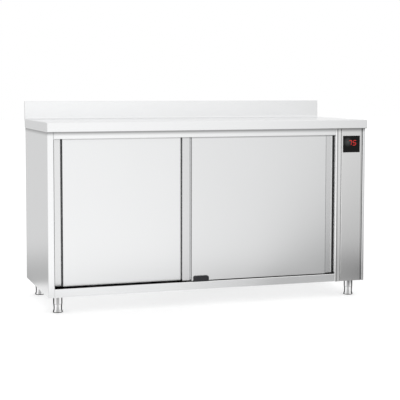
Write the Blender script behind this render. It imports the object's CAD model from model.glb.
"""Dresses the heated plate cupboard: smooth folded sheet, turned feet, finishes, studio and camera.

Every length is in metres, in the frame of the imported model: X is the width, Y runs from the doors
to the splashback, and Z is up from the floor.
"""

import logging
import math
from dataclasses import dataclass, field
from enum import Enum

import bpy
import numpy as np
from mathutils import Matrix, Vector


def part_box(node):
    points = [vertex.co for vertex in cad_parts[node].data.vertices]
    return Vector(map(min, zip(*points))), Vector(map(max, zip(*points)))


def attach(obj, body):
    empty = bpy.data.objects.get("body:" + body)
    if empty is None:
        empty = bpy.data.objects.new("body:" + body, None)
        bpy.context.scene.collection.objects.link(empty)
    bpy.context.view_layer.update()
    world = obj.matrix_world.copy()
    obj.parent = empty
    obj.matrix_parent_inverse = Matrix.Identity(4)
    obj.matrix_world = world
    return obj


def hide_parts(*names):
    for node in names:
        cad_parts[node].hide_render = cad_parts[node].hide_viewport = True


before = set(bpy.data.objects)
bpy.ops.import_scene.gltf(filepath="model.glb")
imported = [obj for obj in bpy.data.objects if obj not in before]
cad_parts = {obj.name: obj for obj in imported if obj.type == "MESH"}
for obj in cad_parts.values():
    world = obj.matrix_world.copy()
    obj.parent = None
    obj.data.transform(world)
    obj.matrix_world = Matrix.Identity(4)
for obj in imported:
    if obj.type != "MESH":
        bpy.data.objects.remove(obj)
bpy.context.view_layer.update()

log = logging.getLogger("cupboard")

BEND_STEPS = 8
TURN_STEPS = 64
BODY = "cabinet"
Socket = bpy.types.NodeSocket
Triple = tuple[float, float, float]
Pair = tuple[float, float]
Stops = tuple[Pair, ...]


class Axis(Enum):
    """The direction that a profile is carried along, and the frame's axes of its plane."""

    X = (0, 1, 2)
    Y = (1, 0, 2)
    Z = (2, 0, 1)


def in_frame(axis: Axis, plane: np.ndarray, along: np.ndarray | float) -> np.ndarray:
    """Puts points of a profile's plane into the frame.

    Args:
        axis: the direction that the profile is carried along.
        plane: array (..., 2) of places in the profile's plane.
        along: place along the axis, one number or an array that fits the points.

    Returns:
        Array (..., 3) of places in the frame.
    """
    out = np.zeros((*np.broadcast_shapes(plane.shape[:-1], np.shape(along)), 3))
    out[..., axis.value[0]] = along
    out[..., axis.value[1]] = plane[..., 0]
    out[..., axis.value[2]] = plane[..., 1]
    return out


def leftward(v: np.ndarray) -> np.ndarray:
    """The unit vector a quarter turn to the left of v."""
    return np.array([-v[1], v[0]]) / np.hypot(*v)


def closed(rows: np.ndarray) -> np.ndarray:
    """The rows with the first one again at the end."""
    return np.concatenate([rows, rows[:1]])


@dataclass
class BentLine:
    """A line with rounded corners: its points, and the normal to its left at each.

    Each corner (u, v) or (u, v, radius) is replaced by an arc that touches both of its sides. The
    arc's middle lies radius / cos(half the turn) from the corner, on the inner side, and its points
    are the middle plus the radius times the turned normal.
    """

    corners: list[tuple[float, ...]]
    radius: float = 0.0026
    steps: int = BEND_STEPS
    gap: tuple[int, float, float] | None = None
    points: np.ndarray = field(init=False)
    normals: np.ndarray = field(init=False)
    gap_at: int = field(init=False, default=-1)

    def __post_init__(self) -> None:
        """Works out the points and normals, with two more points where the gap begins and ends."""
        flat = np.array([c[:2] for c in self.corners], float)
        points, normals = [flat[:1]], [leftward(flat[1] - flat[0])[None]]
        for i in range(1, len(flat)):
            if self.gap and self.gap[0] == i - 1:
                self.gap_at = sum(len(p) for p in points)
                unit = (flat[i] - flat[i - 1]) / np.hypot(*(flat[i] - flat[i - 1]))
                points.append(flat[i - 1] + np.outer(self.gap[1:], unit))
                normals.append(np.tile(leftward(unit), (2, 1)))
            if i == len(flat) - 1:
                break
            arc, normal = self.arc(flat[i - 1], flat[i], flat[i + 1], self.radius_at(i))
            points.append(arc)
            normals.append(normal)
        points.append(flat[-1:])
        normals.append(leftward(flat[-1] - flat[-2])[None])
        self.points, self.normals = np.concatenate(points), np.concatenate(normals)

    def radius_at(self, i: int) -> float:
        """The radius of corner i, its own or the line's."""
        return self.corners[i][2] if len(self.corners[i]) > 2 else self.radius

    def arc(self, a: np.ndarray, b: np.ndarray, c: np.ndarray, r: float) -> tuple:
        """Rounds the corner b between a and c.

        Args:
            a: the point before the corner.
            b: the corner.
            c: the point after it.
            r: the arc's radius.

        Returns:
            The arc's points and their normals, each an array (steps + 1, 2).
        """
        u, v = (b - a) / np.hypot(*(b - a)), (c - b) / np.hypot(*(c - b))
        turn = math.atan2(u[0] * v[1] - u[1] * v[0], u @ v)
        side = math.copysign(1.0, turn)
        middle = b - u * r * math.tan(abs(turn) / 2) + leftward(u) * r * side
        angles = np.linspace(0, turn, self.steps + 1)
        start = leftward(u)
        normals = np.stack([start[0] * np.cos(angles) - start[1] * np.sin(angles),
                            start[0] * np.sin(angles) + start[1] * np.cos(angles)], 1)
        return middle - normals * r * side, normals


class Sketch:
    """Collects faces with a normal at each corner, and makes one closed mesh of them."""

    def __init__(self) -> None:
        """Starts with no faces."""
        self.faces: list[tuple[np.ndarray, np.ndarray, int]] = []
        self.part = 0

    def next_part(self) -> None:
        """Begins another closed part; points are only merged within a part."""
        self.part += 1

    def add(self, points: np.ndarray, normals: np.ndarray) -> None:
        """Adds faces, each turned so that it points the way of its normals.

        Args:
            points: array (faces, corners, 3).
            normals: array that broadcasts to the same shape.
        """
        normals = np.broadcast_to(normals, points.shape)
        ahead = np.roll(points, -1, axis=1)
        area = np.cross(points - points.mean(1, keepdims=True), ahead - points).sum(1)
        wrong = (area * normals.sum(1)).sum(1) < 0
        points, normals = points.copy(), normals.copy()
        points[wrong], normals[wrong] = points[wrong, ::-1], normals[wrong, ::-1]
        self.faces.append((points, normals, self.part))

    def grid(self, points: np.ndarray, normals: np.ndarray, keep: np.ndarray | None = None) -> None:
        """Adds the quads between neighbours of a grid of points.

        Args:
            points: array (rows, columns, 3).
            normals: array of the same shape.
            keep: which of the (rows - 1, columns - 1) quads to add, or None for all.
        """
        def quads(a: np.ndarray) -> np.ndarray:
            """The four corners of each cell, in order round it."""
            return np.stack([a[:-1, :-1], a[1:, :-1], a[1:, 1:], a[:-1, 1:]], 2)

        normals = np.broadcast_to(normals, points.shape)
        chosen = np.ones((points.shape[0] - 1, points.shape[1] - 1), bool) if keep is None else keep
        self.add(quads(points)[chosen], quads(normals)[chosen])

    def polygon(self, points: np.ndarray, normal: np.ndarray | tuple) -> None:
        """Adds one flat face with any number of corners."""
        self.add(points[None], np.array(normal, float))

    @staticmethod
    def without_doubles(index: np.ndarray, normals: np.ndarray, faces: list,
                        kept: list) -> None:
        """Drops the corners that lie on the next one, and faces with fewer than three left.

        Args:
            index: array (faces, corners) of point numbers.
            normals: array (faces, corners, 3).
            faces: list that the faces' point numbers are added to.
            kept: list that their normals are added to.
        """
        apart = index != np.roll(index, -1, axis=1)
        for count in range(3, index.shape[1] + 1):
            rows = apart.sum(1) == count
            if rows.any():
                chosen = apart & rows[:, None]
                faces += index[chosen].reshape(-1, count).tolist()
                kept.append(normals[chosen])

    def build(self, name: str) -> bpy.types.Object:
        """Makes the mesh object: equal points are merged, and each corner keeps its own normal.

        Args:
            name: the object's name.

        Returns:
            The new object, linked to the scene, with its place in its mesh.
        """
        points = np.concatenate([p.reshape(-1, 3) for p, _, _ in self.faces])
        counts = [p.shape[0] * p.shape[1] for p, _, _ in self.faces]
        parts = np.repeat([part for _, _, part in self.faces], counts)[:, None]
        _, first, index = np.unique(np.hstack([np.round(points, 7), parts]), axis=0,
                                    return_index=True, return_inverse=True)
        faces, normals = [], []
        for (p, n, _), own in zip(self.faces, np.split(index.reshape(-1), np.cumsum(counts)[:-1])):
            self.without_doubles(own.reshape(p.shape[:2]), n, faces, normals)
        normals = np.concatenate(normals)
        mesh = bpy.data.meshes.new(name)
        mesh.from_pydata(points[first], [], faces)
        mesh.polygons.foreach_set("use_smooth", np.ones(len(faces), bool))
        lengths = np.linalg.norm(normals, axis=1, keepdims=True)
        mesh.normals_split_custom_set((normals / lengths).tolist())
        mesh.update()
        thing = bpy.data.objects.new(name, mesh)
        bpy.context.scene.collection.objects.link(thing)
        return thing


@dataclass
class FoldedSheet:
    """Sheet metal of one thickness that follows a bent line and is carried along an axis.

    Its faces are the line's points moved by 0 and by the thickness along their normals, at each
    level along the axis. A window is left open on one straight side between two levels.
    """

    line: BentLine
    thickness: float
    axis: Axis
    start: float
    end: float
    window: Pair | None = None

    def draw(self, sketch: Sketch) -> None:
        """Adds the sheet's two skins, its edges and its ends.

        Args:
            sketch: the sketch that they are added to.
        """
        sketch.next_part()
        p, n = self.line.points, self.line.normals
        levels = np.array([self.start, *(self.window or ()), self.end])
        outer = in_frame(self.axis, p[:, None], levels)
        inner = in_frame(self.axis, (p + n * self.thickness)[:, None], levels)
        across = in_frame(self.axis, n[:, None], 0.0)
        keep = np.ones((len(p) - 1, len(levels) - 1), bool)
        if self.window:
            i = self.line.gap_at
            keep[i, 1] = False
            self.window_edges(sketch, outer[i:i + 2, 1:3], inner[i:i + 2, 1:3])
        sketch.grid(outer, -across, keep)
        sketch.grid(inner, across, keep)
        for i, ahead in ((0, p[0] - p[1]), (-1, p[-1] - p[-2])):
            strip = np.stack([outer[i], inner[i]])
            sketch.grid(strip, in_frame(self.axis, ahead / np.hypot(*ahead), 0.0))
        for k, sign in ((0, -1.0), (-1, 1.0)):
            strip = np.stack([outer[:, k], inner[:, k]])
            sketch.grid(strip, in_frame(self.axis, np.zeros(2), sign))

    def window_edges(self, sketch: Sketch, outer: np.ndarray, inner: np.ndarray) -> None:
        """Adds the four edges of the window, each facing its middle.

        Args:
            sketch: the sketch that they are added to.
            outer: array (2, 2, 3) of the window's corners on one skin.
            inner: the same on the other skin.
        """
        rings = np.stack([skin[[0, 1, 1, 0, 0], [0, 0, 1, 1, 0]] for skin in (outer, inner)])
        for i in range(4):
            edge = rings[:, i:i + 2]
            sketch.grid(edge, outer.mean((0, 1)) - edge[0].mean(0))


@dataclass
class Plate:
    """A flat plate: an outline in a plane, carried along the axis that stands on it."""

    outline: BentLine
    axis: Axis
    start: float
    end: float

    def draw(self, sketch: Sketch) -> None:
        """Adds both faces and the wall round them; the outline's left is the inside.

        Args:
            sketch: the sketch that they are added to.
        """
        sketch.next_part()
        p, n = closed(self.outline.points)[:, None], closed(self.outline.normals)[:, None]
        sketch.grid(in_frame(self.axis, p, np.array([self.start, self.end])),
                    in_frame(self.axis, -n, 0.0))
        for level, sign in ((self.start, -1.0), (self.end, 1.0)):
            sketch.polygon(in_frame(self.axis, self.outline.points, level),
                           in_frame(self.axis, np.zeros(2), sign))


@dataclass
class Turned:
    """A turned solid: a bent line of (radius, height) carried round an axis through a centre.

    A point is centre + radius * (cos t, sin t) across the axis + height along it, and its normal
    turns with it.
    """

    line: BentLine
    axis: Axis
    centre: Pair

    def draw(self, sketch: Sketch) -> None:
        """Adds the turned surface, with triangles where it meets the axis.

        Args:
            sketch: the sketch that it is added to.
        """
        sketch.next_part()
        t = np.linspace(0, 2 * math.pi, TURN_STEPS + 1)
        round_ = np.stack([np.cos(t), np.sin(t)], 1)
        r, h = self.line.points.T
        nr, nh = -self.line.normals.T
        plane = np.array(self.centre) + r[:, None, None] * round_
        points = in_frame(self.axis, plane, h[:, None])
        normals = in_frame(self.axis, nr[:, None, None] * round_, nh[:, None])
        solid = np.maximum(r[:-1], r[1:]) > 1e-6
        both = np.minimum(r[:-1], r[1:]) > 1e-6
        sketch.grid(points, normals, (both & solid)[:, None].repeat(TURN_STEPS, 1))
        for i in np.flatnonzero(solid & ~both):
            pole, rim = (i, i + 1) if r[i] < 1e-6 else (i + 1, i)
            fan = np.stack([points[pole, :-1], points[rim, :-1], points[rim, 1:]], 1)
            sketch.add(fan, normals[rim, :-1][:, None].repeat(3, 1))


@dataclass
class Block:
    """A plain box between two corners."""

    low: Triple
    high: Triple

    def draw(self, sketch: Sketch) -> None:
        """Adds the six faces: on each axis both ends, over the unit square of the other two.

        Args:
            sketch: the sketch that they are added to.
        """
        sketch.next_part()
        ends = np.array([self.low, self.high], float)
        unit = np.array([[0, 0], [1, 0], [1, 1], [0, 1]])
        for axis in Axis:
            i, j, k = axis.value
            for side in (0, 1):
                plane = np.stack([ends[unit[:, 0], j], ends[unit[:, 1], k]], 1)
                sketch.polygon(in_frame(axis, plane, ends[side, i]),
                               in_frame(axis, np.zeros(2), 2.0 * side - 1.0))


def grey(value: float) -> Triple:
    """A colour with three equal parts."""
    return (value, value, value)


def times(level: float, colour: tuple[float, ...]) -> tuple[float, ...]:
    """The colour with each part multiplied by the level."""
    return tuple(level * part for part in colour)


@dataclass(frozen=True)
class Fade:
    """Where steel lies deep in a corner and looks darker: from start to end along an axis."""

    axis: Axis
    start: float
    end: float
    level: float

    @classmethod
    def beside(cls, axis: Axis, place: float, stretch: Pair, level: float) -> "Fade":
        """The fade over a stretch that is measured from a place."""
        return cls(axis, place + stretch[0], place + stretch[1], level)


class Tree:
    """Places nodes in a material, world or group and links them."""

    def __init__(self, tree: bpy.types.NodeTree) -> None:
        """Keeps the tree that nodes are added to."""
        self.tree = tree

    @classmethod
    def fresh(cls, owner: bpy.types.ID) -> "Tree":
        """Empties the node tree of a new material or world.

        Args:
            owner: the material or world.

        Returns:
            Its tree.
        """
        owner.use_nodes = True
        owner.node_tree.nodes.clear()
        return cls(owner.node_tree)

    @classmethod
    def group(cls, name: str, inputs: dict[str, str], outputs: dict[str, str]) -> "Tree":
        """Makes a shared node group with its sockets.

        Args:
            name: the group's name.
            inputs: name and type of each input.
            outputs: name and type of each output.

        Returns:
            The group's tree, still without nodes.
        """
        made = bpy.data.node_groups.new(name, "ShaderNodeTree")
        for sockets, way in ((inputs, "INPUT"), (outputs, "OUTPUT")):
            for socket, kind in sockets.items():
                made.interface.new_socket(socket, in_out=way, socket_type="NodeSocket" + kind)
        return cls(made)

    def node(self, kind: str, inputs: dict | None = None, **settings: object) -> bpy.types.Node:
        """Adds one node.

        Args:
            kind: the node's type name, without the ShaderNode before it.
            inputs: socket name or number to a value, or to another node's output to link. A
                colour has three parts.
            settings: attributes of the node.

        Returns:
            The new node.
        """
        made = self.tree.nodes.new(kind if kind.startswith("NodeGroup") else "ShaderNode" + kind)
        for key, value in settings.items():
            setattr(made, key, value)
        for key, value in (inputs or {}).items():
            if isinstance(value, Socket):
                self.tree.links.new(value, made.inputs[key])
            elif made.inputs[key].type == "RGBA":
                made.inputs[key].default_value = (*value, 1.0)
            else:
                made.inputs[key].default_value = value
        return made

    def local(self) -> Socket:
        """The place in the piece's own coordinates."""
        return self.node("TexCoord").outputs["Object"]

    def apart(self, vector: Socket) -> bpy.types.NodeOutputs:
        """The three parts of a vector."""
        return self.node("SeparateXYZ", {0: vector}).outputs

    def math(self, operation: str, *terms: float | Socket) -> Socket:
        """The result of a Math node over its terms."""
        return self.node("Math", dict(enumerate(terms)), operation=operation).outputs[0]

    def noise(self, where: Socket, scale: float, detail: float = 2.0,
              roughness: float = 0.5) -> Socket:
        """The value of a noise texture."""
        return self.node("TexNoise", {"Vector": where, "Scale": scale, "Detail": detail,
                                      "Roughness": roughness}).outputs[0]

    def bump(self, height: Socket, strength: float, distance: float) -> Socket:
        """The normal that a height bends."""
        return self.node("Bump", {"Strength": strength, "Distance": distance,
                                  "Height": height}).outputs[0]

    def mapped(self, value: Socket, ends: tuple, levels: tuple = (0.0, 1.0),
               ease: str = "SMOOTHSTEP") -> Socket:
        """A step of the value: from the first level at the first end to the second at the other."""
        return self.node("MapRange", {
            "Value": value, "From Min": ends[0], "From Max": ends[1], "To Min": levels[0],
            "To Max": levels[1]}, interpolation_type=ease).outputs[0]

    def mix(self, part: float | Socket, a: object, b: object, how: str = "MIX") -> Socket:
        """The mix of two colours, of which b takes the given part."""
        return self.node("Mix", {0: part, 6: a, 7: b}, data_type="RGBA",
                         blend_type=how).outputs[2]

    def either(self, part: Socket, a: Socket, b: Socket) -> Socket:
        """The mix of two shaders, of which b takes the given part."""
        return self.node("MixShader", {0: part, 1: a, 2: b}).outputs[0]

    def ramp(self, value: Socket, stops: tuple, ends: Pair = (0.0, 1.0),
             ease: str = "LINEAR") -> Socket:
        """Adds a colour ramp.

        Args:
            value: the value that it goes by.
            stops: place and colour, or place and grey level, of each stop.
            ends: the places of the ramp's two ends.
            ease: how the colours run into one another.

        Returns:
            Its colour.
        """
        low, high = ends
        if ends != (0.0, 1.0):
            value = self.mapped(value, ends, ease="LINEAR")
        made = self.node("ValToRGB", {0: value})
        made.color_ramp.interpolation = ease
        elements = made.color_ramp.elements
        while len(elements) < len(stops):
            elements.new(1.0)
        for element, (place, colour) in zip(elements, stops):
            element.position = (place - low) / (high - low)
            element.color = (*(colour if isinstance(colour, tuple) else grey(colour)), 1.0)
        return made.outputs[0]

    def faded(self, colour: Socket, fades: tuple[Fade, ...]) -> Socket:
        """Darkens a colour at the fades.

        Args:
            colour: the colour.
            fades: where it becomes darker, and how much.

        Returns:
            The darkened colour.
        """
        place = self.apart(self.local())
        for fade in fades:
            colour = self.node("Group", {
                "Color": colour, "Place": place[fade.axis.value[0]], "Start": fade.start,
                "End": fade.end, "Level": fade.level},
                node_tree=bpy.data.node_groups["recess_fade"]).outputs["Color"]
        return colour


PALE = (0.885, 0.89, 0.895)


class Grain(Enum):
    """The way that brushing runs: the stretch of the noise along X, Y and Z."""

    ALONG_X = (6.0, 900.0, 900.0)
    ALONG_Z = (900.0, 900.0, 6.0)


def brushing_group() -> None:
    """Makes the shared brushing group: fine lines, and slow clouds where the sheet was handled.

    It takes a stretched vector and a plain one, and gives lines and clouds from 0 to 1.
    """
    t = Tree.group("brushing", {"Stretched": "Vector", "Plain": "Vector"},
                   {"Lines": "Float", "Clouds": "Float"})
    ends = t.node("NodeGroupInput").outputs
    t.node("NodeGroupOutput", {"Lines": t.noise(ends["Stretched"], 1.0, 4.0, 0.65),
                               "Clouds": t.noise(ends["Plain"], 3.2, 5.0, 0.6)})


def fade_group() -> None:
    """Makes the shared group that darkens a colour from one place to another.

    The colour keeps its value up to Start and is multiplied by Level from End on, with a soft
    step between.
    """
    t = Tree.group("recess_fade", {"Color": "Color", "Place": "Float", "Start": "Float",
                                   "End": "Float", "Level": "Float"}, {"Color": "Color"})
    ends = t.node("NodeGroupInput").outputs
    level = t.mapped(ends["Place"], (ends["Start"], ends["End"]), (1.0, ends["Level"]))
    t.node("NodeGroupOutput", {"Color": t.mix(1.0, ends["Color"], level, "MULTIPLY")})


@dataclass(frozen=True)
class Finish:
    """What every finish has: a name and a way to make its material."""

    name: str

    def shader(self, t: Tree) -> bpy.types.Node:
        """Makes the finish's surface; each finish has its own.

        Args:
            t: the material's node tree.

        Returns:
            The surface shader.
        """
        raise NotImplementedError

    def material(self) -> bpy.types.Material:
        """The finish's material, made once and then shared.

        Returns:
            The material.
        """
        if self.name in bpy.data.materials:
            return bpy.data.materials[self.name]
        made = bpy.data.materials.new(self.name)
        t = Tree.fresh(made)
        t.node("OutputMaterial", {"Surface": self.shader(t).outputs[0]})
        return made


@dataclass(frozen=True)
class BrushedSteel(Finish):
    """Stainless steel sheet, ground in one direction, with the slight unevenness of real sheet."""

    grain: Grain = Grain.ALONG_X
    colour: tuple[float, ...] = PALE
    roughness: float = 0.24
    uneven: float = 0.04
    depth: float = 0.05
    fades: tuple[Fade, ...] = ()

    def shader(self, t: Tree) -> bpy.types.Node:
        """Brushing varies the roughness and the height, clouds and corners vary the colour.

        Args:
            t: the material's node tree.

        Returns:
            The surface shader.
        """
        where = t.local()
        stretched = t.node("Mapping", {"Vector": where, "Scale": self.grain.value}).outputs[0]
        brushing = t.node("Group", {"Stretched": stretched, "Plain": where},
                          node_tree=bpy.data.node_groups["brushing"])
        lines, clouds = brushing.outputs["Lines"], brushing.outputs["Clouds"]
        cloudy = t.math("MULTIPLY_ADD", clouds, self.uneven, self.roughness - self.uneven)
        colour = t.ramp(clouds, ((0.3, times(0.985, self.colour)), (0.7, self.colour)))
        return t.node("BsdfPrincipled", {
            "Base Color": t.faded(colour, self.fades), "Metallic": 1.0,
            "Roughness": t.math("MULTIPLY_ADD", lines, self.uneven, cloudy),
            "Normal": t.bump(lines, self.depth, 0.0002)})


@dataclass(frozen=True)
class PolishedSteel(Finish):
    """Bright steel of the legs, with faint wipe marks and the dark rims of a polished tube."""

    colour: tuple[float, ...] = (0.95, 0.95, 0.955)
    roughness: float = 0.1
    bands: Stops = ((0.0, 0.45), (0.05, 0.55), (0.1, 1.0), (0.3, 1.0), (0.4, 0.02))
    foot: Fade = Fade(Axis.Z, 0.0045, 0.003, 0.08)

    def shader(self, t: Tree) -> bpy.types.Node:
        """Marks raise the roughness; the gloss is dark in the middle, at the rims and the foot.

        Args:
            t: the material's node tree.

        Returns:
            The surface shader.
        """
        marks = t.noise(t.local(), 45.0, 3.0)
        turned = t.node("LayerWeight", {"Blend": 0.5}).outputs["Facing"]
        gloss = t.ramp(turned, [(place, times(level, self.colour)) for place, level in self.bands])
        return t.node("BsdfPrincipled", {
            "Base Color": t.faded(gloss, (self.foot,)),
            "Metallic": t.ramp(turned, ((0.34, 1.0), (0.42, 0.0))),
            "Roughness": t.math("MULTIPLY_ADD", marks, 0.08, self.roughness - 0.04),
            "Specular IOR Level": 0.0})


@dataclass(frozen=True)
class Moulded(Finish):
    """Moulded nylon, rubber or other plastic, with a fine grain."""

    colour: tuple[float, ...] = grey(0.02)
    roughness: float = 0.5
    grain_scale: float = 900.0
    depth: float = 0.15

    def shader(self, t: Tree) -> bpy.types.Node:
        """The grain gives the height, and slow noise the roughness and colour.

        Args:
            t: the material's node tree.

        Returns:
            The surface shader.
        """
        where = t.local()
        slow = t.noise(where, 30.0)
        return t.node("BsdfPrincipled", {
            "Base Color": t.ramp(slow, ((0.3, times(0.85, self.colour)), (0.7, self.colour))),
            "Roughness": t.math("MULTIPLY_ADD", slow, 0.16, self.roughness - 0.08),
            "Normal": t.bump(t.noise(where, self.grain_scale), self.depth, 0.0001)})


@dataclass(frozen=True)
class DarkGlass(Finish):
    """The display's glass, printed black behind, with a smear and a few finger marks on it."""

    smear: Triple = (0.0, 0.0, 0.0)
    reach: float = 0.026

    def shader(self, t: Tree) -> bpy.types.Node:
        """Finger marks raise the roughness in soft patches; the smear is paler to its middle.

        Args:
            t: the material's node tree.

        Returns:
            The surface shader.
        """
        where = t.local()
        away = t.node("VectorMath", {0: where, 1: self.smear},
                      operation="DISTANCE").outputs["Value"]
        return t.node("BsdfPrincipled", {
            "Base Color": t.ramp(away, ((0.0, 0.085), (0.35 * self.reach, 0.05),
                                        (self.reach, 0.004)), (0.0, self.reach), "EASE"),
            "Roughness": t.ramp(t.noise(where, 60.0, 4.0), ((0.5, 0.05), (0.75, 0.16))),
            "IOR": 1.25})


@dataclass(frozen=True)
class LitDigits(Finish):
    """Lit red segments behind the glass's surface."""

    dim: Triple = (0.72, 0.012, 0.008)
    bright: Triple = (0.9, 0.02, 0.012)

    def shader(self, t: Tree) -> bpy.types.Node:
        """The light of a segment is a little uneven over its length.

        Args:
            t: the material's node tree.

        Returns:
            The surface shader.
        """
        return t.node("BsdfPrincipled", {
            "Base Color": (0.25, 0.01, 0.008), "Roughness": 0.25, "Emission Strength": 0.6,
            "Emission Color": t.ramp(t.noise(t.local(), 220.0), ((0.3, self.dim),
                                                                 (0.7, self.bright)))})


@dataclass(frozen=True)
class Fibrous(Finish):
    """Mineral wool or board: matt, mottled and fibrous."""

    dark: Triple = (0.45, 0.38, 0.2)
    light: Triple = (0.75, 0.68, 0.42)
    scale: float = 90.0

    def shader(self, t: Tree) -> bpy.types.Node:
        """Mottling gives the colour and a rough height.

        Args:
            t: the material's node tree.

        Returns:
            The surface shader.
        """
        mottle = t.noise(t.local(), self.scale, 8.0, 0.7)
        return t.node("BsdfPrincipled", {
            "Base Color": t.ramp(mottle, ((0.3, self.dark), (0.7, self.light))),
            "Roughness": 0.95, "Normal": t.bump(mottle, 0.8, 0.002)})


LINER = (0.7, 0.705, 0.71)
SHEET_X = BrushedSteel("steel_brushed_along_x", Grain.ALONG_X)
SHEET_Z = BrushedSteel("steel_brushed_along_z", Grain.ALONG_Z)
UNDER_EDGE = (Fade(Axis.Z, 0.815, 0.838, 0.34),)
RAIL = BrushedSteel("rail_steel", Grain.ALONG_X, fades=UNDER_EDGE)
UPRIGHT = BrushedSteel("upright_steel", Grain.ALONG_Z, fades=UNDER_EDGE)
LINER_X = BrushedSteel("liner_brushed_along_x", Grain.ALONG_X, LINER, 0.34)
LINER_Z = BrushedSteel("liner_brushed_along_z", Grain.ALONG_Z, LINER, 0.34)
ALUMINIUM = BrushedSteel("drawn_aluminium", Grain.ALONG_X, (0.78, 0.785, 0.79), 0.38)
ZINC = BrushedSteel("zinc_plate", Grain.ALONG_Z, (0.62, 0.63, 0.66), 0.3)
HOT_STEEL = BrushedSteel("heat_tinted_steel", Grain.ALONG_Z, (0.34, 0.29, 0.26), 0.42)
POLISHED = PolishedSteel("polished_steel")
NYLON = Moulded("black_nylon", grey(0.012), 0.42)
WHITE_NYLON = Moulded("white_nylon", (0.78, 0.78, 0.74), 0.4)
IVORY = Moulded("ivory_plastic", (0.74, 0.7, 0.58), 0.3)
RUBBER = Moulded("seal_rubber", grey(0.035), 0.7, 500.0, 0.3)
ENAMEL = Moulded("motor_enamel", grey(0.09), 0.35, 300.0, 0.1)
DIGITS = LitDigits("digits_lit_red")
WOOL = Fibrous("mineral_wool")
BOARD = Fibrous("chipboard", (0.35, 0.22, 0.11), (0.66, 0.47, 0.28), 260.0)


def dress(finish: Finish, *nodes: str) -> None:
    """Gives CAD nodes that are shown as they are their finish, in all of their slots.

    Args:
        finish: the finish.
        nodes: the nodes' names.
    """
    for node in nodes:
        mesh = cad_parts[node].data
        if not mesh.materials:
            mesh.materials.append(None)
        for i in range(len(mesh.materials)):
            mesh.materials[i] = finish.material()


def make_piece(name: str, shapes: list, finish: Finish, slot: str, body: str,
               *nodes: str) -> None:
    """Makes a new piece, gives it its finish, slot and body, and lets it stand for CAD nodes.

    Args:
        name: the piece's name.
        shapes: what it is drawn from.
        finish: its finish.
        slot: the record's material slot.
        body: the body that it rides on.
        nodes: the CAD nodes that it replaces.
    """
    sketch = Sketch()
    for shape in shapes:
        shape.draw(sketch)
    piece = sketch.build(name)
    piece.data.materials.append(finish.material())
    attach(piece, body)
    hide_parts(*nodes)
    log.info("%s: %d faces, rides on %s", name, len(piece.data.polygons), body)


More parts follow.
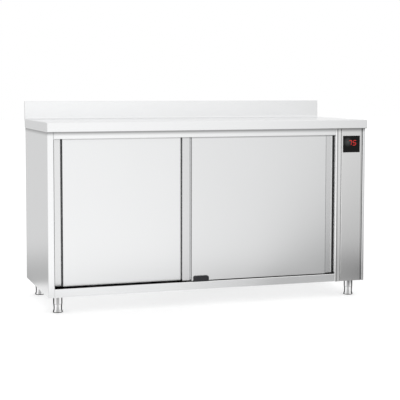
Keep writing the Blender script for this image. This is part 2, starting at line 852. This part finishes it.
@dataclass
class Worktop:
    """Folded worktop: a tray with rounded edges, the lip under its front, and the splashback."""

    half_w: float = 0.8
    half_d: float = 0.3
    top: float = 0.88
    edge: float = 0.837
    height: float = 0.97
    splash: float = 0.018
    cove: float = 0.009
    round: float = 0.003
    sheet: float = 0.0015
    lip: float = 0.011
    sunk: float = 1e-6
    raised: float = 2e-5

    def rim(self) -> tuple[np.ndarray, np.ndarray]:
        """The rim's base points and outward directions, once round the tray.

        Each corner keeps its base point while the direction turns by a quarter, so that the rim
        is base + reach * direction for every reach.

        Returns:
            The base points and the directions, each an array (points, 2).
        """
        r = self.round
        x, y = self.half_w - r, self.half_d - r
        corners = np.array([[-x, y], [-x, -y], [x, -y], [x, y]])
        base = corners.repeat(BEND_STEPS + 1, 0)
        turn = np.linspace(0, math.pi / 2, BEND_STEPS + 1)
        start = np.array([math.pi / 2, math.pi, 3 * math.pi / 2, 2 * math.pi])[:, None]
        angle = (start + turn).reshape(-1)
        way = np.stack([np.cos(angle), np.sin(angle)], 1)
        return closed(base), closed(way)

    def tray(self, sketch: Sketch) -> None:
        """Adds the tray: top, rounded edge and skirt, outside and inside, and the bottom edge.

        The edge is reach = r sin a, height = top - r (1 - cos a) for a from 0 to a quarter turn.

        Args:
            sketch: the sketch that it is added to.
        """
        base, way = self.rim()
        a = np.linspace(0, math.pi / 2, BEND_STEPS + 1)
        for radius, face in ((self.round, 1.0), (self.round - self.sheet, -1.0)):
            reach = np.append(radius * np.sin(a), radius)
            height = np.append(self.top - self.round + radius * np.cos(a), self.edge + self.round)
            flat = np.append(np.sin(a), 1.0)
            up = np.append(np.cos(a), 0.0)
            points = in_frame(Axis.Z, base[:, None] + way[:, None] * reach[:, None], height)
            normals = in_frame(Axis.Z, way[:, None] * flat[:, None], up)
            sketch.grid(points, face * normals)
            corners = base[[0, BEND_STEPS + 1, 2 * BEND_STEPS + 2, 3 * BEND_STEPS + 3]]
            level = self.top - self.round + radius
            sketch.polygon(in_frame(Axis.Z, corners, level), (0, 0, face))
        self.skirt(sketch, base, way)

    def skirt(self, sketch: Sketch, base: np.ndarray, way: np.ndarray) -> None:
        """Adds the skirt's last stretch: plain at the sides and back, bent under at the front.

        Args:
            sketch: the sketch that it is added to.
            base: the rim's base points.
            way: the rim's directions.
        """
        low, high, inside = self.edge, self.edge + self.round, self.round - self.sheet
        past_front = np.roll(np.arange(len(base) - 1), -2 * (BEND_STEPS + 1))
        b, w = base[past_front], way[past_front]
        rings = [in_frame(Axis.Z, b + w * reach, level)
                 for reach, level in ((self.round, high), (self.round, low), (inside, low),
                                      (inside, high))]
        outward = in_frame(Axis.Z, w, 0.0)
        down = np.broadcast_to(np.array([0.0, 0.0, -1.0]), outward.shape)
        for i, normal in ((0, outward), (1, down), (2, -outward)):
            sketch.grid(np.stack([rings[i], rings[i + 1]]), np.stack([normal, normal]))
        for end, way_x in ((0, -1.0), (-1, 1.0)):
            sketch.polygon(np.stack([ring[end] for ring in rings]), (way_x, 0, 0))
        sketch.polygon(np.stack([rings[k][i] for k, i in ((0, -1), (0, 0), (3, 0), (3, -1))]),
                       (0, 0, -1))
        y = self.half_d
        line = BentLine([(-y, high), (-y, low), (-y + self.lip, low)], self.round - self.sunk)
        x = self.half_w - self.round
        FoldedSheet(line, self.sheet, Axis.X, -x, x).draw(sketch)

    def splashback(self, sketch: Sketch) -> None:
        """Adds the splashback: a solid of its profile, coved into the worktop's top.

        Args:
            sketch: the sketch that it is added to.
        """
        y, low, level = self.half_d, self.top - self.round, self.top + self.raised
        front = y - self.splash
        toe = front - self.cove - 5 * self.raised
        line = BentLine([(y, low), (y, self.height, self.round),
                         (front, self.height, self.round), (front, level, self.cove),
                         (toe, level, self.raised / 2), (toe, low)])
        Plate(line, Axis.X, -self.half_w, self.half_w).draw(sketch)

    def draw(self, sketch: Sketch) -> None:
        """Adds the tray and the splashback."""
        self.tray(sketch)
        self.splashback(sketch)

    def build(self) -> None:
        """Makes the worktop's piece."""
        make_piece("worktop_sheet", [self], SHEET_X, "casing_steel", BODY, "worktop")


@dataclass
class Casing:
    """The folded sheets round the body: side panels, stiles, rails and the column's cover.

    The fields that end in _dark or _pale are the stretches over which the steel changes its
    colour: from the jamb's and the cover's edges, and up from the floor.
    """

    left: float = -0.797
    right: float = 0.797
    front: float = -0.285
    back: float = 0.295
    low: float = 0.078
    high: float = 0.8605
    sheet: float = 0.0012
    soft: float = 0.0045
    bend: float = 0.0026
    jamb: float = 0.024
    flange: float = 0.02
    notch: float = 0.0807
    hem: float = 0.0048
    cover_edge: float = 0.016
    side_flange: float = 0.013
    play: float = 0.0003
    seam: float = 0.0008
    clear: float = 0.0027
    groove: float = 0.004
    lift: float = 0.001
    jamb_dark: Pair = (0.0045, 0.0055)
    jamb_pale: Pair = (0.012, 0.0135)
    foot_dark: Pair = (0.3, 0.09)
    rim_dark: Pair = (0.0, 0.001)
    duct_y: Pair = (-0.074, 0.194)
    duct_z: Pair = (0.301, 0.599)
    opening: Pair = field(init=False)
    divider: float = field(init=False)
    column: Pair = field(init=False)

    def __post_init__(self) -> None:
        """Reads from the frame where the doors' opening, the divider and the cover lie."""
        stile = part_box("divider_panel")
        self.opening = (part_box("left_side_panel")[1].x, stile[0].x)
        self.divider = stile[1].x
        self.column = tuple(corner.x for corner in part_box("column_cover"))

    def stack(self, name: str, path: list, short: list, node: str,
              gap: tuple | None = None, window: tuple | None = None,
              boxes: list[Block] | None = None, finish: Finish = UPRIGHT) -> None:
        """Makes an upright sheet whose foot is cut away behind its front.

        Args:
            name: the piece's name.
            path: corners of the whole sheet, seen from above.
            short: corners of the part that reaches the bottom.
            node: the CAD node that it replaces.
            gap: side and stretch of the sheet that the window is in.
            window: lowest and highest point of the window.
            boxes: further flanges.
            finish: the sheet's finish.
        """
        whole, foot = BentLine(path, self.soft, gap=gap), BentLine(short, self.soft)
        make_piece(name, [FoldedSheet(whole, self.sheet, Axis.Z, self.notch, self.high, window),
                          FoldedSheet(foot, self.sheet, Axis.Z, self.low, self.notch),
                          *(boxes or [])], finish, "casing_steel", BODY, node)

    def flanges(self, x0: float, x1: float) -> list[Block]:
        """The two flanges that a side panel is turned in by, at its foot and its top."""
        y0, y1 = self.front + self.cover_edge + self.play, self.back - self.clear
        return [Block((x0, y0, z), (x1, y1, z + self.sheet))
                for z in (self.low, self.high - self.sheet)]

    def sides(self) -> None:
        """Makes both side panels and the divider, each with the stile or flange folded on it."""
        jamb, bend, (left, right) = self.front + self.jamb, self.bend, self.opening
        outer = [(self.left + self.flange, self.back), (self.left, self.back, bend),
                 (self.left, self.front, bend), (left, self.front, bend)]
        self.stack("left_side_and_stile", [*outer, (left, jamb)], outer, "left_side_panel",
                   boxes=self.flanges(self.left + self.sheet, self.left + self.flange))
        inner = self.right - self.side_flange
        edge = [(inner, self.front, bend), (self.right, self.front, bend),
                (self.right, self.back, bend), (self.right - self.flange, self.back)]
        self.stack("right_side_and_flange", [(inner, self.front + self.cover_edge), *edge],
                   edge, "right_side_panel",
                   boxes=self.flanges(self.right - self.flange, self.right - self.sheet))
        stile = [(right, self.front), (self.divider, self.front)]
        rear = (self.divider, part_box("divider_panel")[1].y)
        finish = BrushedSteel("jamb_steel", Grain.ALONG_Z, grey(1.0), fades=(
            *UNDER_EDGE, Fade.beside(Axis.X, right, self.jamb_dark, 0.5),
            Fade.beside(Axis.X, right, self.jamb_pale, 1.75)))
        self.stack("right_stile_and_divider", [(right, jamb), *stile, rear], stile,
                   "divider_panel", (2, *(y - self.front for y in self.duct_y)), self.duct_z,
                   finish=finish)

    def rails(self) -> None:
        """Makes the rails above and below the doors, with their hems."""
        y = self.front + self.sheet
        x0, x1 = self.opening[0] + self.play / 2, self.opening[1] - self.play / 2
        top, (head, shelf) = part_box("bottom_rail")[1].z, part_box("top_rail")
        low = [(y + self.hem, top), (y, top), (y, self.low), (y + self.flange, self.low)]
        high = [(shelf.y, self.high - self.jamb), (shelf.y, self.high), (y, self.high),
                (y, head.z), (y + self.hem, head.z)]
        for name, path, node in (("foot_rail", low, "bottom_rail"),
                                 ("head_rail", high, "top_rail")):
            make_piece(name, [FoldedSheet(BentLine(path), self.sheet, Axis.X, x0, x1)], RAIL,
                       "casing_steel", BODY, node)

    def cover(self) -> None:
        """Makes the column's cover, with the window behind the display."""
        back, left = self.front + self.cover_edge, self.divider + self.seam
        right, rim = self.right - self.side_flange - 3 * self.seam, self.column[1] - self.groove
        face = [(left, self.front), (right, self.front)]
        low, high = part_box("controller_housing")
        line = BentLine([(left, back), *face, (right, back)], self.bend,
                        gap=(1, low.x + self.clear - left, high.x - self.clear - left))
        finish = BrushedSteel("cover_steel", Grain.ALONG_Z, grey(0.8), fades=(
            *UNDER_EDGE, Fade(Axis.Z, *self.foot_dark, 0.8),
            Fade.beside(Axis.X, rim, self.rim_dark, 0.74)))
        make_piece("column_front", [
            FoldedSheet(line, self.sheet, Axis.Z, self.notch, self.high,
                        (low.z - self.play, high.z + self.play)),
            FoldedSheet(BentLine(face), self.sheet, Axis.Z, self.low + self.lift, self.notch),
            Block((left, self.front + self.sheet, self.high - self.sheet),
                  (right, back, self.high))], finish, "casing_steel", BODY, "column_cover")

    def build(self) -> None:
        """Makes all of the casing's pieces and dresses the flat ones that stay."""
        self.sides()
        self.rails()
        self.cover()
        dress(SHEET_X, "back_panel", "base_pan")
        dress(ZINC, "panel_screws")


@dataclass
class Door:
    """A sliding door: a folded tray with a recessed grip along both upright edges.

    The fields that end in _at are the stretches over which its steel becomes darker or paler,
    measured from its face, from the grip's strip or from the head rail's lower edge.
    """

    side: str
    colour: float
    fold: float
    grip: float = 0.035
    slant: float = 0.006
    grip_depth: float = 0.016
    sheet: float = 0.001
    soft: float = 0.0045
    tight: float = 0.002
    groove: float = 0.0019
    bore: float = 0.00305
    edge: float = 0.0003
    bend_at: Pair = (0.0001, 0.0007)
    flank_at: Pair = (0.0022, 0.0035)
    grip_at: Pair = (-0.006, -0.001)
    return_at: Pair = (0.0005, 0.004)
    under_at: Pair = (-0.008, 0.0)

    def outline(self) -> list[tuple[float, ...]]:
        """The corners of the tray seen from above, from its left rear corner round the front.

        Returns:
            The corners, each with its bend's radius.
        """
        low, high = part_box(f"{self.side}_door_skin")
        x0, x1, face, rear = low.x, high.x, low.y, high.y
        strip = face + self.grip_depth
        return [(x0, rear), (x0, strip, self.tight), (x0 + self.grip, strip, self.tight),
                (x0 + self.grip + self.slant, face, self.soft),
                (x1 - self.grip - self.slant, face, self.soft),
                (x1 - self.grip, strip, self.tight), (x1, strip, self.tight), (x1, rear)]

    def steel(self) -> BrushedSteel:
        """The door's own sheet, darker in its grips, at its edges and under the head rail.

        Returns:
            The finish.
        """
        low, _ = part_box(f"{self.side}_door_skin")
        strip, under = low.y + self.grip_depth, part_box("top_rail")[0].z
        return BrushedSteel(
            f"{self.side}_door_steel", Grain.ALONG_Z, times(self.colour, PALE),
            fades=(Fade.beside(Axis.Y, low.y, self.bend_at, self.fold),
                   Fade.beside(Axis.Y, low.y, self.flank_at, 1 / self.fold),
                   Fade.beside(Axis.Y, strip, self.grip_at, 0.9),
                   Fade.beside(Axis.Y, strip, self.return_at, 0.2),
                   Fade.beside(Axis.Z, under, self.under_at, 0.5)))

    def build(self) -> None:
        """Makes the door's skin and dresses its other pieces."""
        low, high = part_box(f"{self.side}_door_skin")
        line, body = BentLine(self.outline()), f"{self.side}_door"
        make_piece(f"{body}_front", [
            FoldedSheet(line, self.sheet, Axis.Z, low.z, high.z),
            *(Plate(line, Axis.Z, z, z + self.sheet) for z in (low.z, high.z - self.sheet))],
            self.steel(), "casing_steel", body, f"{body}_skin")
        dress(SHEET_Z, f"{body}_back")
        dress(WOOL, f"{body}_core")
        dress(ZINC, f"{body}_hangers")
        for end in ("left", "right"):
            self.roller(f"{body}_{end}")

    def roller(self, name: str) -> None:
        """Makes one grooved roller: its rim is hollowed to fit the track's bead.

        Args:
            name: the start of its nodes' and its body's names.
        """
        low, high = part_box(f"{name}_roller")
        r, half = (high.x - low.x) / 2, (high.y - low.y) / 2
        groove, bore, edge = self.groove, self.bore, self.edge
        path = [(bore, -half), (r, -half, edge), (r, -groove, edge),
                (r - groove, -groove, 0.8 * groove), (r - groove, groove, 0.8 * groove),
                (r, groove, edge), (r, half, edge), (bore, half), (bore, -half)]
        line = BentLine([(u, v + (low.y + high.y) / 2, *c) for u, v, *c in path], edge, 4)
        centre = ((low.x + high.x) / 2, (low.z + high.z) / 2)
        make_piece(f"{name}_roller_turned", [Turned(line, Axis.Y, centre)], WHITE_NYLON,
                   "white_nylon", f"{name}_wheel", f"{name}_roller")


@dataclass
class Guide:
    """The nylon guide at the doors' feet: a base with three cheeks, the front one over the rail."""

    round: float = 0.008
    edge: float = 0.0012
    play: float = 0.0013
    rib: float = 0.0051
    base: float = 0.003
    step: float = 0.004
    overlap: float = 0.001

    def rounded(self, x0: float, x1: float, z0: float, z1: float) -> BentLine:
        """An upright outline with two round upper corners."""
        return BentLine([(x0 + self.round, z0), (x1, z0, self.edge), (x1, z1, self.round),
                         (x0, z1, self.round), (x0, z0, self.edge), (x0 + self.round, z0)],
                        self.edge)

    def build(self) -> None:
        """Makes the guide from its base, riser, front cheek and two inner cheeks."""
        (x0, y0, z0), (x1, y1, z1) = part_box("floor_guide")
        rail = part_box("bottom_rail")[1].z
        near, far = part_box("right_door_skin"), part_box("left_door_skin")
        front, riser = near[0].y - self.play, y0 + self.rib
        inner = self.rounded(x0, x1, z0, z1 - self.step)
        make_piece("nylon_guide", [
            Plate(self.rounded(x0, x1, rail, z1), Axis.Y, y0, front),
            Block((x0, riser, z0), (x1, front, rail + self.overlap)),
            Block((x0, riser, z0), (x1, y1, z0 + self.base)),
            Plate(inner, Axis.Y, near[1].y + self.play, far[0].y - self.play),
            Plate(inner, Axis.Y, far[1].y + self.play, y1)], NYLON, "black_nylon", BODY,
            "floor_guide")


@dataclass
class Display:
    """The display's glass with ground edges; the lit digits lie in its face."""

    corner: float = 0.002
    ground: float = 0.0006
    step: float = 0.00005
    smear: Pair = (0.024, 0.03)

    def draw(self, sketch: Sketch) -> None:
        """Adds the glass as stacked outlines, so that its front edge is ground at 45 degrees.

        Args:
            sketch: the sketch that it is added to.
        """
        low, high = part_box("display_glass")
        front = low.y + self.step
        lines = [self.ring(low, high, inset) for inset in (0.0, 0.0, self.ground)]
        rings = [in_frame(Axis.Y, line.points, y)
                 for line, y in zip(lines, (high.y, front + self.ground, front))]
        for i, lean in ((0, 0.0), (1, -1.0)):
            normals = in_frame(Axis.Y, -lines[i].normals, lean)
            sketch.grid(closed(np.stack(rings[i:i + 2], 1)), closed(normals)[:, None])
        sketch.polygon(rings[0], (0, 1, 0))
        sketch.polygon(rings[-1], (0, -1, 0))

    def build(self) -> None:
        """Makes the glass and dresses the digits and the housing."""
        low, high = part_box("display_glass")
        smear = (low.x + self.smear[0], low.y + self.step, high.z - self.smear[1])
        make_piece("display_pane", [self], DarkGlass("display_glass_black", smear),
                   "display_glass", BODY, "display_glass")
        dress(DIGITS, "display_digits")
        dress(NYLON, "controller_housing")

    def ring(self, low: object, high: object, inset: float) -> BentLine:
        """The glass's outline with round corners, moved inwards.

        Args:
            low: the glass's lower corner.
            high: its upper corner.
            inset: how far it is moved.

        Returns:
            The outline.
        """
        x0, x1, z0, z1 = low.x + inset, high.x - inset, low.z + inset, high.z - inset
        r = self.corner - inset * 0.4
        return BentLine([(x0 + 0.01, z0), (x1, z0, r), (x1, z1, r), (x0, z1, r), (x0, z0, r),
                         (x0 + 0.01, z0)], r)


@dataclass
class Leg:
    """A leg's tube with its plate, and the foot that screws out of it."""

    place: str
    tube: float = 0.0215
    neck: float = 0.0196
    flare: float = 0.0228
    split: float = 0.04
    stem: float = 0.005
    rim: float = 0.011
    thick: float = 0.003
    cap: float = 0.004
    play: float = 0.00005
    heel: float = 0.005
    waist: Pair = (0.014, 0.026)
    shoulder: Pair = (0.0207, 0.0397)
    thread_top: float = 0.069

    def turned(self, name: str, path: list, body: str, node: str) -> None:
        """Turns a profile about the leg's axis.

        Args:
            name: the end of the piece's name.
            path: corners of (radius, height).
            body: the body that it rides on.
            node: the end of the CAD node's name.
        """
        low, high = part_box(f"{self.place}_leg")
        centre = ((low.x + high.x) / 2, (low.y + high.y) / 2)
        make_piece(f"{self.place}_{name}", [Turned(BentLine(path, 0.0006), Axis.Z, centre)],
                   POLISHED, "leg_chrome", body, f"{self.place}_{node}")

    def build(self) -> None:
        """Makes the tube and the foot."""
        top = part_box(f"{self.place}_leg")[1].z
        t, plate, bore = self.tube, self.tube + self.rim, self.stem + self.play
        roof, under = top - self.cap, top - self.thick
        self.turned("leg_tube", [
            (0.0, roof), (bore, roof), (bore, self.split), (t, self.split, 0.001),
            (t, under, 0.001), (plate, under), (plate, top), (0.0, top)], BODY, "leg")
        (low, high), (wide, seat), end = self.waist, self.shoulder, self.thread_top
        self.turned("foot_turned", [
            (0.0, 0.0), (self.flare, 0.0, 0.0012), (self.flare, self.heel, 0.002),
            (self.neck, low, 0.006), (self.neck, high, 0.008), (wide, seat, 0.0006),
            (self.stem, seat, 0.0002), (self.stem, end, 0.0004), (0.0, end)],
            f"{self.place}_screw_foot", "foot")


@dataclass
class Chamber:
    """The inside: liners, shelf, uprights, track and seals."""

    sheet: float = 0.0012
    edge: float = 0.01

    def build(self) -> None:
        """Makes the shelf with its edges folded down and back, and dresses the other nodes."""
        low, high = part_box("shelf")
        line = BentLine([(high.y - self.edge, low.z), (high.y, low.z), (high.y, high.z),
                         (low.y, high.z), (low.y, low.z), (low.y + self.edge, low.z)])
        make_piece("shelf_sheet", [FoldedSheet(line, self.sheet, Axis.X, low.x, high.x)],
                   LINER_X, "liner_steel", "loose_shelf", "shelf")
        dress(LINER_X, "shelf_stiffener", "rear_liner", "chamber_floor", "chamber_ceiling")
        dress(LINER_Z, "left_liner", "right_liner", "shelf_uprights", "shelf_clips", "air_duct")
        dress(ALUMINIUM, "door_track")
        dress(RUBBER, "door_seals")
        dress(WOOL, *(f"{side}_insulation" for side in ("side", "rear", "top", "floor")))
        dress(BOARD, "worktop_board")


class Heating:
    """The fan, the element and what controls them, all shown as they are in the CAD model."""

    def build(self) -> None:
        """Dresses each node with its finish."""
        dress(ENAMEL, "fan_motor")
        dress(ALUMINIUM, "fan_wheel")
        dress(ZINC, "fan_shaft", "temperature_probe")
        dress(HOT_STEEL, "heating_element")
        dress(IVORY, "safety_thermostat", "terminal_block")
        dress(NYLON, "cable_gland")


@dataclass
class Studio:
    """The floor and the world, and the levels of grey that the steel sees of them.

    ahead goes by x over the distance in front of the doors, shade by x, and ring by the angle
    round Z from straight ahead, in degrees.
    """

    half: float = 30.0
    fill: float = 0.9
    floor_light: float = 0.42
    behind: float = 0.72
    by_feet: float = 1.04
    shade_rear: float = 0.35
    ahead: Stops = (
        (-2.5, 0.85), (-1.1, 0.92), (-0.7, 1.2), (-0.5, 1.22), (0.1, 1.13), (0.4, 1.0),
        (0.5, 0.98), (0.6, 0.78), (0.68, 0.6), (1.5, 0.54))
    shade: Stops = (
        (-0.8, 0.06), (-0.5, 0.2), (0.05, 0.34), (0.3, 0.42), (0.5, 0.4), (0.9, 0.16),
        (1.02, 0.6), (1.15, 0.85))
    ring: Stops = (
        (-180, 0.72), (-140, 0.72), (-110, 0.85), (-75, 0.9), (-40, 0.8), (-10, 0.95),
        (7, 1.08), (11, 1.22), (15, 1.06), (19, 0.98), (24, 1.0), (27, 0.88), (31, 0.7),
        (36, 0.6), (100, 0.6), (140, 0.85), (160, 0.95), (180, 0.8))

    def floor(self) -> None:
        """Makes the pale floor: white to the camera, with the cupboard's soft shadow on it.

        In gloss it is white at the left and grey at the right, as a studio floor is that is lit
        from one side.
        """
        sketch = Sketch()
        sketch.polygon(self.half * np.array([[-1, -1, 0], [1, -1, 0], [1, 1, 0], [-1, 1, 0]]),
                       (0, 0, 1))
        floor = sketch.build("studio_floor")
        made = bpy.data.materials.new("pale_floor")
        t = Tree.fresh(made)
        ray = t.node("LightPath").outputs
        matt = t.node("BsdfDiffuse", {"Color": grey(0.8)}).outputs[0]
        light = t.node("Emission", {"Color": grey(1.0), "Strength": self.floor_light}).outputs[0]
        white = t.node("AddShader", {0: matt, 1: light}).outputs[0]
        seen = t.node("Emission", {"Color": self.floor_gloss(t)}).outputs[0]
        plain = t.either(ray["Is Camera Ray"], matt, white)
        t.node("OutputMaterial", {"Surface": t.either(ray["Is Glossy Ray"], plain, seen)})
        floor.data.materials.append(made)

    def floor_gloss(self, t: Tree) -> Socket:
        """What the steel sees of the floor.

        In front it is pale at the left and greyer at the right. Behind it is even. The cupboard's
        own shade takes from it by the distance from the body's outline, some behind and much in
        front of the right half. Round the feet it is white again.

        Args:
            t: the floor's node tree.

        Returns:
            The colour.
        """
        x, y, _ = t.apart(t.local())
        ahead = t.math("MAXIMUM", t.math("MULTIPLY", y, -1.0), 0.05)
        front = t.ramp(t.math("DIVIDE", x, ahead), self.ahead, (-2.5, 1.5))
        even = t.mix(t.mapped(y, (0.0, 0.8)), front, grey(self.behind))
        beside = t.math("SUBTRACT", t.math("ABSOLUTE", x), 0.8)
        away = t.math("SUBTRACT", t.math("ABSOLUTE", y), 0.3)
        gap = t.math("MAXIMUM", t.math("MAXIMUM", beside, away), 0.0)
        right = t.math("MULTIPLY", t.ramp(x, self.shade, (-1.0, 1.2)),
                       t.mapped(gap, (1.5, 0.25)))
        rear = t.math("MULTIPLY", t.mapped(y, (-0.2, 0.4), (0.0, self.shade_rear)),
                      t.mapped(gap, (1.9, 0.3)))
        light = t.math("SUBTRACT", 1.0, t.math("MAXIMUM", right, rear))
        shaded = t.mix(1.0, even, light, "MULTIPLY")
        return t.mix(t.mapped(gap, (0.32, 0.12), (0.0, 0.85)), shaded, grey(self.by_feet))

    def world(self) -> None:
        """Makes the world: white behind the object, and a soft studio in its reflections.

        The studio's brightness goes by the ring, and is even overhead.
        """
        world = bpy.data.worlds.new("soft_studio")
        bpy.context.scene.world = world
        t = Tree.fresh(world)
        x, y, z = t.apart(t.node("TexCoord").outputs["Generated"])
        angle = t.math("DEGREES", t.math("ARCTAN2", x, t.math("MULTIPLY", y, -1.0)))
        ring = t.ramp(angle, self.ring, (-180.0, 180.0))
        glossy = t.mix(t.mapped(z, (0.15, 0.7), ease="LINEAR"), ring, grey(1.0))
        ray = t.node("LightPath").outputs
        studio = t.node("Background", {"Color": glossy}).outputs[0]
        fill = t.node("Background", {"Color": grey(1.0), "Strength": self.fill}).outputs[0]
        white = t.node("Background", {"Color": grey(1.0)}).outputs[0]
        lit = t.either(ray["Is Glossy Ray"], fill, studio)
        t.node("OutputWorld", {"Surface": t.either(ray["Is Camera Ray"], lit, white)})

    def build(self) -> None:
        """Makes the stage and sets how colours are shown."""
        self.floor()
        self.world()
        bpy.context.scene.view_settings.view_transform = "Standard"


@dataclass
class ViewCamera:
    """The camera, where the photograph was taken from."""

    place: Triple = (-1.713, -5.108, 1.031)
    yaw: float = 17.56
    pitch: float = 4.18
    focal: float = 1081.3
    shift: Pair = (0.06, -0.08)
    frame_px: float = 400.0

    def build(self) -> None:
        """Makes the camera and hands it to the scene."""
        data = bpy.data.cameras.new("view_camera")
        data.sensor_width = 36.0
        data.lens = data.sensor_width * self.focal / self.frame_px
        data.shift_x, data.shift_y = self.shift
        camera = bpy.data.objects.new("view_camera", data)
        camera.location = self.place
        camera.rotation_euler = (math.radians(90 - self.pitch), 0.0, math.radians(-self.yaw))
        bpy.context.scene.collection.objects.link(camera)
        bpy.context.scene.camera = camera


def main() -> None:
    """Builds the stage, then each sub-assembly in order."""
    logging.basicConfig(level=logging.INFO, format="%(name)s: %(message)s")
    brushing_group()
    fade_group()
    stage = [ViewCamera(), Studio()]
    legs = [Leg(f"{end}_{side}") for end in ("front", "rear") for side in ("left", "right")]
    for part in [*stage, Worktop(), Casing(), Door("left", 0.93, 0.8),
                 Door("right", 0.89, 0.3), Guide(), Display(), Chamber(), Heating(), *legs]:
        part.build()
        log.info("%s done", type(part).__name__)


if __name__ == "__main__":
    main()
